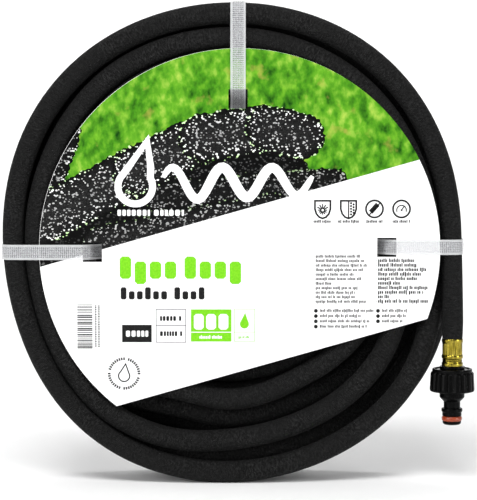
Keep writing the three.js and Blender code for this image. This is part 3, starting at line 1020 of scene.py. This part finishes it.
def strap_tape(name, path, clock, sideways):
    """A woven tape along a path of (distance out, depth), ribbed across between its selvedges."""
    out, across, origin = strap_basis(clock, sideways)
    lanes = np.linspace(-0.5, 0.5, STRAP_LANES)
    after = np.gradient(path, axis=0)
    after /= np.linalg.norm(after, axis=1)[:, None]
    normal = np.stack([after[:, 1], -after[:, 0]], axis=1)
    far = distances(path)
    rib = np.cos(far / STRAP_RIB * TURN) * 0.09 * MM
    points = []
    for side in (0, 1):
        for lane in lanes:
            woven = 1 if abs(lane) < SELVEDGE else 0.25
            height = STRAP_T * side + (rib * woven if side else 0)
            flat = path + normal * np.reshape(height, (-1, 1))
            point = origin + out * flat[:, :1] + across * (lane * STRAP_W)
            point[:, 1] = flat[:, 1]
            points.append(point)
    rows = points[:STRAP_LANES] + points[STRAP_LANES:][::-1]
    across_at = np.concatenate([lanes, lanes[::-1]])
    count, around = len(path), len(rows)
    grid = np.stack(rows, axis=1).reshape(-1, 3)
    faces = []
    for i in range(count - 1):
        for j in range(around):
            k = (j + 1) % around
            a, b = i * around, (i + 1) * around
            faces.append((a + j, b + j, b + k, a + k))
    faces.append(tuple(range(around)))
    faces.append(tuple((count - 1) * around + j for j in reversed(range(around))))
    piece = make_piece(name, grid, faces, "coil", STRAP_WEAVE, 60)
    weave = np.zeros((count, around, 3), np.float32)
    weave[..., 0] = far[:, None] / STRAP_RIB
    weave[..., 1] = across_at[None, :]
    data = piece.data.attributes.new("weave", "FLOAT_VECTOR", "POINT").data
    data.foreach_set("vector", weave.ravel())
    return piece


def strap_weave():
    """White polypropylene tape, a little see-through, with painted shade in the gaps between its ribs
    between the selvedges, where it also lets more through.
    """
    material, tree, shader = new_material("strap_weave", 0.42)
    nodes = Nodes(tree)
    weave = nodes.attribute("weave", "Vector")
    split = nodes.add("ShaderNodeSeparateXYZ")
    nodes.plug(weave, split.inputs[0])
    along, across = split.outputs[0], split.outputs[1]
    rung = nodes.maths("SINE", nodes.maths("MULTIPLY", along, TURN))
    yarn = nodes.maths("SINE", nodes.maths("MULTIPLY", across, TURN * 9))
    gap = nodes.maths("MULTIPLY_ADD", rung, 0.3, nodes.maths("MULTIPLY_ADD", yarn, 0.2, 0.5))
    middle = nodes.maths("LESS_THAN", nodes.maths("ABSOLUTE", across), SELVEDGE)
    fuzz = nodes.noise(nodes.stretch(weave, (0.6, 4, 1)), 1.4, 3)
    # Painted shade: the gaps between the ribs, between the selvedges, are coloured greyer, and the same
    # gaps let more through.
    gap_shade_and_see_through = nodes.maths("MULTIPLY", nodes.maths("MULTIPLY", gap, middle), fuzz)
    nodes.plug(
        nodes.ramp(gap_shade_and_see_through, (0.05, (0.78, 0.79, 0.80)), (0.5, (0.50, 0.51, 0.54))),
        shader.inputs["Base Color"],
    )
    nodes.bump(nodes.maths("ADD", rung, yarn), 0.35, 0.0001, shader)
    clear = nodes.add("ShaderNodeBsdfTransparent")
    blend = nodes.add("ShaderNodeMixShader")
    nodes.plug(nodes.maths("MULTIPLY_ADD", gap_shade_and_see_through, 0.4, 0.57), blend.inputs[0])
    nodes.plug(shader.outputs[0], blend.inputs[1])
    nodes.plug(clear.outputs[0], blend.inputs[2])
    nodes.plug(blend.outputs[0], tree.nodes["Material Output"].inputs["Surface"])
    return material


STRAP_WEAVE = strap_weave()


def add_strap(name, degrees, sideways, window, line):
    """One strap: a taut loop from the back of the coil, welded where its ends lap over."""
    clock = math.radians(degrees)
    section = strap_section(line, clock, sideways * MM, window * MM)
    spacing = STRAP_RIB / 4
    loop = evenly(convex_loop(section), spacing)
    start = int(np.argmax(10 * loop[:, 1] - np.abs(loop[:, 0] - loop[:, 0].mean())))
    loop = np.roll(loop, -start, axis=0)
    outward = (offset_loop(loop, 1.0) - loop) * STRAP_LIFT
    lap = int(STRAP_OVERLAP / spacing)
    rise = eased((np.arange(len(loop)) - len(loop) + 16) / 16)
    path = np.vstack([loop + outward * rise[:, None], (loop + outward)[:lap]])
    piece = strap_tape(f"strap_{name}_tape", path, clock, sideways * MM)
    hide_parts(f"strap_{name}")


for strap in STRAPS:
    add_strap(*strap, hose_line)

# ------------------------------------------------------------------ card
CARD_T = 0.6 * MM
CARD_TILT = math.radians(15.8)
CHORD_DROP = 88.8 * MM
PICTURE_EDGE = 28.3 * MM
PICTURE_RIM = 0.05 * MM
PICTURE_SHIFT = Vector((0.15, 0, -0.05)) * MM


def on_card(u, w, lift=0.0):
    """A point of the card's face, from mm right of and above its centre."""
    return (CARD_CENTRE[0] + u * MM, CARD_FRONT - lift, CARD_CENTRE[2] + w * MM)


def card_outline():
    """The disc with the straight cut across its lower part, from the card's centre."""
    half = math.acos(CHORD_DROP / CARD_R)
    middle = CARD_TILT - math.pi / 2
    angles = np.linspace(middle + half, middle - half + TURN, 240)
    return [(CARD_R * math.cos(a), CARD_R * math.sin(a)) for a in angles]


def window_outline(degrees, sideways, window):
    """The square window that a strap goes through, from the card's centre."""
    out, across, origin = strap_basis(math.radians(degrees), sideways * MM)
    middle = origin + out * window * MM - CARD_CENTRE
    half = WINDOW / 2
    corners = [
        middle + out * half * a + across * half * b for a, b in ((1, 1), (1, -1), (-1, -1), (-1, 1))
    ]
    return [(c[0], c[2]) for c in corners]


# The hoses printed on the card: both ends of each straight stretch and its half width, in mm
# from the card's centre, then how light the rubber and its dew are. Later ones lie on earlier
# ones, and the first is the shade between them.
PRINTED_HOSES = (
    ((-150.0, 8.0), (28.0, 55.0), 26.0, 0.002, 0.10),
    ((-62.0, 40.0), (70.0, 50.0), 13.5, 0.008, 0.45),
    ((-104.0, 2.0), (24.0, 27.0), 18.0, 0.020, 0.55),
    ((-125.1, 88.5), (-146.0, 30.0), 8.5, 0.006, 0.9),
    ((-152.0, 20.0), (-78.0, 59.0), 20.5, 0.024, 1.0),
    ((-78.0, 59.0), (-28.0, 84.0), 20.0, 0.024, 1.0),
    ((-28.0, 84.0), (22.0, 91.0), 20.0, 0.024, 1.0),
    ((22.0, 91.0), (46.0, 85.0), 19.5, 0.024, 1.0),
)


def card_face():
    """The card's face: grass with a dewy hose lying on it above a slanting edge, white below."""
    material, tree, shader = new_material("printed_card", 0.4, specular=0.1)
    nodes = Nodes(tree)
    place = nodes.vector("SUBTRACT", nodes.object_place(), tuple(CARD_CENTRE))
    blades = nodes.noise(nodes.stretch(place, (1.0, 1.0, 0.7), (0, 0.5, 0)), 150, 4)
    blotches = nodes.noise(nodes.stretch(place, (1.0, 1.0, 0.8), (0, -0.6, 0)), 48, 3)
    deep = nodes.ramp(
        blades, (0.3, (0.003, 0.04, 0.002)), (0.5, (0.05, 0.22, 0.008)), (0.7, (0.15, 0.40, 0.02))
    )
    pale = nodes.ramp(
        blades, (0.3, (0.03, 0.18, 0.006)), (0.5, (0.11, 0.34, 0.016)), (0.7, (0.34, 0.52, 0.07))
    )
    color = nodes.mix(nodes.ramp(blotches, (0.42, grey(0)), (0.58, grey(1))), deep, pale)
    withered = nodes.ramp(nodes.noise(place, 85, 3), (0.6, grey(0)), (0.75, grey(0.6)))
    color = nodes.mix(withered, color, (0.40, 0.30, 0.07, 1))

    dew = nodes.cells(nodes.stretch(place, (1, 0, 1.3), (0, 0.6, 0)), 430)
    size = nodes.noise(place, 330, 1)
    speck = nodes.maths("LESS_THAN", dew, nodes.maths("MULTIPLY_ADD", size, 1.1, -0.26))
    ragged = nodes.maths("MULTIPLY", nodes.cells(place, 240), 3.5 * MM)
    grain = nodes.ramp(nodes.noise(place, 900, 3), (0.38, grey(0.15)), (0.62, grey(1)))
    for start, end, half, tone, dewy in PRINTED_HOSES:
        reach = distance_to_segment(nodes, place, start, end)
        share = nodes.maths("DIVIDE", nodes.maths("ADD", reach, ragged), half * MM)
        inside = nodes.maths("LESS_THAN", share, 1.0)
        body = nodes.ramp(share, (0.0, grey(tone)), (0.7, grey(tone * 0.6)), (0.98, grey(0.001)))
        textured = nodes.vector("MULTIPLY", body, grain)
        drops = nodes.ramp(
            share,
            (0.1, grey(0.25 * dewy)),
            (0.55, grey(0.55 * dewy)),
            (0.85, grey(0.9 * dewy)),
            (1.0, (0.5 * dewy, 0.8 * dewy, 0.3 * dewy)),
        )
        color = nodes.mix(inside, color, nodes.mix(speck, textured, drops))

    normal = (-math.sin(CARD_TILT), 0, math.cos(CARD_TILT))
    height = nodes.vector("DOT_PRODUCT", place, normal, output=1)
    above = nodes.maths("GREATER_THAN", height, PICTURE_EDGE)
    flat = nodes.vector("MULTIPLY", nodes.vector("SUBTRACT", place, tuple(PICTURE_SHIFT)), (1, 0, 1))
    radius = nodes.vector("LENGTH", flat, output=1)
    printed = nodes.maths("LESS_THAN", radius, CARD_R - PICTURE_RIM)
    forward = nodes.vector("DOT_PRODUCT", place, (0, -1, 0), output=1)
    in_front = nodes.maths("GREATER_THAN", forward, CARD_CENTRE[1] - CARD_FRONT - CARD_T / 2)
    printed = nodes.maths("MULTIPLY", printed, in_front)
    board = nodes.ramp(nodes.noise(place, 500, 2), (0.3, grey(0.87)), (0.7, grey(0.91)))
    nodes.plug(
        nodes.mix(nodes.maths("MULTIPLY", above, printed), board, color), shader.inputs["Base Color"]
    )
    nodes.bump(nodes.noise(place, 900, 2), 0.04, 0.00004, shader)
    return material


def distance_to_segment(nodes, place, start, end):
    """How far a place is from a stretch between two points of the card."""
    a = Vector((start[0], 0, start[1])) * MM
    ab = Vector((end[0], 0, end[1])) * MM - a
    off = nodes.vector("MULTIPLY", nodes.vector("SUBTRACT", place, tuple(a)), (1, 0, 1))
    dot = nodes.vector("DOT_PRODUCT", off, tuple(ab), output=1)
    along = nodes.maths("DIVIDE", dot, ab.length_squared)
    held = nodes.maths("MINIMUM", nodes.maths("MAXIMUM", along, 0.0), 1.0)
    scaled = nodes.add("ShaderNodeVectorMath", operation="SCALE")
    scaled.inputs[0].default_value = tuple(ab)
    nodes.plug(held, scaled.inputs["Scale"])
    return nodes.vector("LENGTH", nodes.vector("SUBTRACT", off, scaled.outputs[0]), output=1)


def add_card():
    """The card itself: a stiff sheet with its windows cut through."""
    curve = bpy.data.curves.new("card_outline", "CURVE")
    curve.dimensions = "2D"
    curve.fill_mode = "BOTH"
    curve.extrude = CARD_T / 2
    for outline in [card_outline()] + [window_outline(*strap[1:]) for strap in STRAPS]:
        border = curve.splines.new("POLY")
        border.points.add(len(outline) - 1)
        for point, (x, z) in zip(border.points, outline):
            point.co = (x, z, 0, 1)
        border.use_cyclic_u = True
    drawn = bpy.data.objects.new("card_outline", curve)
    mesh = bpy.data.meshes.new_from_object(drawn)
    bpy.data.objects.remove(drawn)
    mesh.transform(Matrix.Rotation(math.pi / 2, 4, "X"))
    middle = Vector((CARD_CENTRE[0], CARD_FRONT + CARD_T / 2, CARD_CENTRE[2]))
    mesh.transform(Matrix.Translation(middle))
    mesh.materials.clear()
    mesh.materials.append(card_face())
    card = bpy.data.objects.new("card_sheet", mesh)
    scene.collection.objects.link(card)
    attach(card, "coil")
    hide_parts("printed_card")


add_card()


# Where the origins of the two groups of print lie, in mm from the card's centre.
LEFT_GROUP = (1.7, 1.4)
RIGHT_GROUP = (0.3, 1.5)


class Print:
    """One colour of the card's printing: flat shapes, in mm from the card's centre."""

    def __init__(self, name, ink, layer=1):
        self.name, self.ink, self.lift = name, ink, layer * 0.03 * MM
        self.origin = (0, 0)
        self.points, self.faces = [], []

    def shape(self, corners):
        first = len(self.points)
        across, up = self.origin
        self.points.extend(on_card(u + across, w + up, self.lift) for u, w in corners)
        self.faces.append(tuple(range(first, first + len(corners))))

    def bar(self, left, bottom, right, top):
        self.shape([(left, bottom), (right, bottom), (right, top), (left, top)])

    def block(self, left, bottom, right, top):
        """A bar with its corners cut, which stands for a letter."""
        c = 0.22 * min(right - left, top - bottom)
        self.shape([
            (left + c, bottom), (right - c, bottom), (right, bottom + c), (right, top - c),
            (right - c, top), (left + c, top), (left, top - c), (left, bottom + c),
        ])

    def box(self, left, bottom, right, top, line):
        self.stroke([(left, bottom), (right, bottom), (right, top), (left, top)], line, closed=True)

    def disc(self, u, w, radius, sides=28):
        self.shape(arc(u, w, radius, 0, TURN * (1 - 1 / sides), sides))

    def stroke(self, path, width, closed=False):
        """A line of some width, or of a width for each point."""
        path = [Vector(p) for p in path]
        count = len(path)
        widths = width if isinstance(width, (list, tuple)) else [width] * count
        sides = []
        for i, point in enumerate(path):
            before = path[i - 1] if closed or i > 0 else point
            after = path[(i + 1) % count] if closed or i < count - 1 else point
            arriving, leaving = point - before, after - point
            arriving = arriving.normalized() if arriving.length else leaving.normalized()
            leaving = leaving.normalized() if leaving.length else arriving
            middle = (arriving + leaving).normalized()
            across = Vector((-middle.y, middle.x)) * widths[i] / 2
            across /= max(0.5, middle.dot(leaving))
            sides.append((point + across, point - across))
        for i in range(count if closed else count - 1):
            k = (i + 1) % count
            self.shape([sides[i][1], sides[k][1], sides[k][0], sides[i][0]])

    def words(self, left, right, foot, height, seed, pitch=0.62, rise=0.3):
        """A line of blocks grouped into words, standing for lettering of that body height."""
        draw = np.random.default_rng(seed)
        u = left
        letters = int(draw.integers(3, 9))
        while u < right - 0.3 * height:
            wide = height * pitch * draw.uniform(0.75, 1.15)
            top = foot + height * (1 + (rise if draw.random() < 0.3 else 0))
            low = foot - height * (rise if draw.random() < 0.12 else 0)
            self.block(u, low, min(u + wide * 0.74, right), top)
            u += wide
            letters -= 1
            if letters == 0:
                u += height * 0.45
                letters = int(draw.integers(2, 9))

    def finish(self):
        mesh = bpy.data.meshes.new(self.name)
        mesh.from_pydata(self.points, [], self.faces)
        mesh.materials.append(self.ink)
        piece = bpy.data.objects.new(self.name, mesh)
        scene.collection.objects.link(piece)
        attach(piece, "coil")


def arc(u, w, radius, start, end, steps):
    """Points on an arc, anticlockwise from the right."""
    angles = np.linspace(start, end, steps)
    return [(u + radius * math.cos(a), w + radius * math.sin(a)) for a in angles]


def drop_outline(u, w, radius, height, lean, steps=24):
    """A falling drop: a round foot drawn out to a leaning point."""
    foot = arc(u, w, radius, math.radians(150), math.radians(390), steps)
    return foot + [(u + radius * 0.55 + lean * 0.5, w + radius * 0.55 + (height - radius) * 0.35),
                   (u + lean, w + height),
                   (u - radius * 0.60 + lean * 0.3, w + radius * 0.55 + (height - radius) * 0.35)]


def print_emblem(white):
    """A generic mark in white: a leaning drop, then a wave, with a row of blocks below."""
    white.stroke(drop_outline(-80, 46, 13, 34, 9), 5.2, closed=True)
    crest = []
    for k in range(61):
        t = k / 60
        swing = 12.5 * math.sin(TURN * 3 * t + 0.4) * (1 - 0.2 * t)
        crest.append((-59 + 112 * t, 48 + 2 * t + swing))
    white.stroke(crest, [3.0 + 4.6 * math.sin(math.pi * k / 60) ** 0.4 for k in range(61)])
    white.words(-93.4, -69, 24.0, 4.6, 3, pitch=0.95, rise=0)
    white.words(-66, -43.5, 24.0, 4.6, 5, pitch=0.95, rise=0)


def print_title(green, black):
    """The two title lines."""
    heights = ((1, 0), (0, 1), (0, 0), (0, 0), None, (1, 0), (0, 0), (0, 0), (0, 1))
    u = -91.9
    for shape in heights:
        if shape is None:
            u += 3.6
            continue
        up, down = shape
        green.block(u, -23.4 - 4.0 * down, u + 8.6, -10.4 + 3.8 * up)
        u += 11.3
    for left, count in ((-91.2, 6), (-50.8, 4)):
        for k in range(count):
            foot = left + k * 6.1
            black.block(foot, -39.0, foot + 4.3, -32.8 + (3.0 if k in (0, 3) else 0))


def print_ratings(green, black, grey_ink, white):
    """The row of boxes under the titles."""
    black.bar(-90.3, -71.4, -68.0, -58.2)
    white.words(-87.4, -70.6, -67.2, 4.6, 8, pitch=0.8, rise=0)
    grey_ink.box(-64.6, -71.4, -42.3, -46.5, 0.5)
    grey_ink.bar(-64.6, -59.0, -42.3, -58.5)
    black.words(-61.7, -44.8, -55.2, 3.6, 9, pitch=0.7, rise=0)
    black.words(-61.7, -44.8, -66.7, 3.6, 12, pitch=0.7, rise=0)
    green.bar(-38.4, -70.9, -7.9, -46.5)
    white.bar(-38.4, -64.1, -7.9, -63.5)
    for k in range(3):
        white.block(-36.2 + 9.3 * k, -61.8, -28.8 + 9.3 * k, -50.0)
    white.words(-32.0, -14.4, -68.7, 2.0, 10)
    green.box(-5.7, -70.7, 9.6, -46.4, 0.35)
    green.bar(-5.7, -64.0, 9.6, -63.7)
    green.shape(drop_outline(1.9, -57.6, 3.4, 8.6, 0.6))
    green.words(-2.6, 6.6, -68.4, 1.5, 11)


def print_column(ink, left, ends, first, weight, marks):
    """A column of small print: its lines' right-hand ends, and which of them open with a dot."""
    for k, end in enumerate(ends):
        foot = first - 3.41 * k
        ink.words(left, end, foot - weight / 2, weight, 40 + k)
        if k in marks:
            ink.disc(left - 1.2, foot, 0.3, 8)


def print_small(black, grey_ink):
    """The columns of small print and the dotted rows under them."""
    ends = (90.4, 93.8, 95.3, 92.4, 85.5, 91.3, 68.9, 88.9, 86.6, 86.8, 95.3)
    print_column(grey_ink, 56.9, ends, -6.7, 1.8, (0, 1, 2, 5, 7, 10))
    ends = (132.8, 133.1, 140.9, 136.0, 134.2, 120.5, 142.3, 138.0, 112.8, 142.3)
    print_column(black, 103.8, ends, -9.9, 2.15, (0, 1, 2, 4, 6, 9))
    for left, ends in ((57.1, (100.7, 91.1, 98.0, 95.5)), (103.9, (125.6, 125.0, 122.5))):
        for k, end in enumerate(ends):
            row = -47.7 - 3.98 * k
            black.disc(left, row, 1.45)
            grey_ink.words(left + 3.0, end, row - 0.85, 1.75, 60 + k)


def print_pictograms(black):
    """Four small signs and the line of small print under each."""
    for middle, caption in ((62.0, 6.8), (81.4, 8.0)):
        left, right, top = middle - 5.8, middle + 5.8, 35.2
        shield = [(left, top), (left, 29.0), (left + 1.1, 25.4), (left + 3.3, 22.9), (middle, 22.0),
                  (right - 3.3, 22.9), (right - 1.1, 25.4), (right, 29.0), (right, top)]
        black.stroke(shield, 1.4, closed=True)
        black.words(middle - caption, middle + caption, 18.7, 1.8, int(middle))
    black.stroke(arc(62, 28.2, 1.5, 0, TURN * 23 / 24, 24), 1.2, closed=True)
    for k in range(12):
        a = k / 12 * TURN
        far = 4.6 if math.sin(a) > 0.1 else 3.4
        black.stroke([(62 + r * math.cos(a), 28.2 + r * math.sin(a)) for r in (2.1, far)], 0.95)
    black.bar(81.0, 22.4, 82.0, 35.2)
    for row in range(5):
        for column in range(2):
            black.disc(83.3 + 1.9 * column, 33.4 - 2.1 * row - 0.9 * column, 0.85, 10)
    for middle, caption in ((100.9, 6.0), (121.2, 6.6)):
        black.stroke(arc(middle, 29.1, 6.4, 0, TURN * 39 / 40, 40), 1.4, closed=True)
        black.words(middle - caption, middle + caption, 18.7, 1.8, int(middle))
    black.stroke([(97.0, 24.6), (104.9, 33.4)], 1.0)
    black.stroke([(98.0, 26.6), (103.4, 32.6)], 3.6)
    black.stroke(arc(121.2, 28.2, 3.6, math.radians(-20), math.radians(200), 20), 0.9)
    black.stroke([(121.2, 28.2), (123.2, 31.2)], 0.9)
    black.disc(121.2, 28.2, 0.8, 14)


def print_sides(black, grey_ink):
    """The block of upright stripes at the left and the round seal of dashes below it."""
    draw = np.random.default_rng(21)
    w = -42.5
    while w > -75.5:
        thick = draw.choice((0.35, 0.6, 0.95))
        black.bar(-124.0, w - thick, -112.6, w)
        w -= thick + draw.choice((0.35, 0.6, 0.9))
    for left in (-110.8, -108.4):
        foot = -43.5
        while foot > -75:
            tall = draw.uniform(0.6, 1.1)
            grey_ink.bar(left, foot - tall, left + 1.3, foot)
            foot -= tall + 0.45
    u, w = -88.9, -95.2
    for k in range(40):
        if k % 10 == 9:
            continue
        a = k / 40 * TURN
        black.stroke([(u + r * math.cos(a), w + r * math.sin(a)) for r in (10.2, 12.3)], 1.2)
    black.stroke(drop_outline(u, w - 1.8, 4.2, 9.2, 1.2), 1.0, closed=True)


def print_card():
    """All of the print, one mesh for each ink."""
    black = Print("print_black", INK_BLACK)
    greyer = Print("print_grey", INK_GREY)
    green = Print("print_green", INK_GREEN)
    white = Print("print_white", INK_WHITE, layer=2)
    inks = (black, greyer, green, white)
    for ink in inks:
        ink.origin = LEFT_GROUP
    print_emblem(white)
    print_title(green, black)
    print_ratings(green, black, greyer, white)
    print_sides(black, greyer)
    for ink in inks:
        ink.origin = RIGHT_GROUP
    print_small(black, greyer)
    print_pictograms(black)
    for ink in inks:
        ink.finish()


print_card()

# ------------------------------------------------------------------ stage
FLOOR_HALF = 4.0
BACK_DISTANCE = 2.5
BACK_RADIUS = 1.2
BACK_HEIGHT = 4.0


def add_backdrop():
    """A pale sweep: a floor that curves up into a wall behind the object."""
    profile = [(-FLOOR_HALF, 0.0)]
    for k in range(17):
        a = k / 16 * math.pi / 2
        profile.append((
            BACK_DISTANCE - BACK_RADIUS + BACK_RADIUS * math.sin(a),
            BACK_RADIUS - BACK_RADIUS * math.cos(a),
        ))
    profile.append((BACK_DISTANCE, BACK_HEIGHT))
    points = [(x, y, z) for y, z in profile for x in (-FLOOR_HALF, FLOOR_HALF)]
    faces = [(2 * i, 2 * i + 1, 2 * i + 3, 2 * i + 2) for i in range(len(profile) - 1)]
    mesh = bpy.data.meshes.new("backdrop")
    mesh.from_pydata(points, [], faces)
    mesh.shade_smooth()
    material, tree, shader = new_material("backdrop_paper", 0.9, specular=0.1)
    nodes = Nodes(tree)
    mottle = nodes.noise(nodes.object_place(), 3, 2)
    nodes.plug(nodes.ramp(mottle, (0.3, grey(0.90)), (0.7, grey(0.92))), shader.inputs["Base Color"])
    mesh.materials.append(material)
    backdrop = bpy.data.objects.new("backdrop", mesh)
    scene.collection.objects.link(backdrop)


def add_light(name, place, size, power, aim=(0, 0, 0.18)):
    """A rectangular soft light, aimed at the object unless it is told otherwise."""
    data = bpy.data.lights.new(name, "AREA")
    data.shape = "RECTANGLE"
    data.size, data.size_y = size
    data.energy = power
    light = bpy.data.objects.new(name, data)
    light.location = place
    way = Vector(aim) - Vector(place)
    light.rotation_euler = way.to_track_quat("-Z", "Y").to_euler()
    scene.collection.objects.link(light)


def add_lighting():
    """A dim white world, two soft side lights, one from above in front, and one on the wall."""
    world = bpy.data.worlds.new("studio")
    world.use_nodes = True
    background = world.node_tree.nodes["Background"]
    background.inputs["Color"].default_value = (1, 1, 1, 1)
    background.inputs["Strength"].default_value = 0.16
    scene.world = world
    add_light("overhead", (-0.25, -1.1, 1.8), (1.1, 0.7), 28)
    add_light("left", (-1.7, -1.5, 0.8), (0.7, 1.5), 30)
    add_light("right", (1.8, -1.1, 0.7), (0.5, 1.5), 22)
    add_light("wall", (0, 0.9, 2.4), (2.4, 0.6), 50, (0, 2.6, 0.9))
    scene.view_settings.view_transform = "Standard"


add_backdrop()
add_lighting()
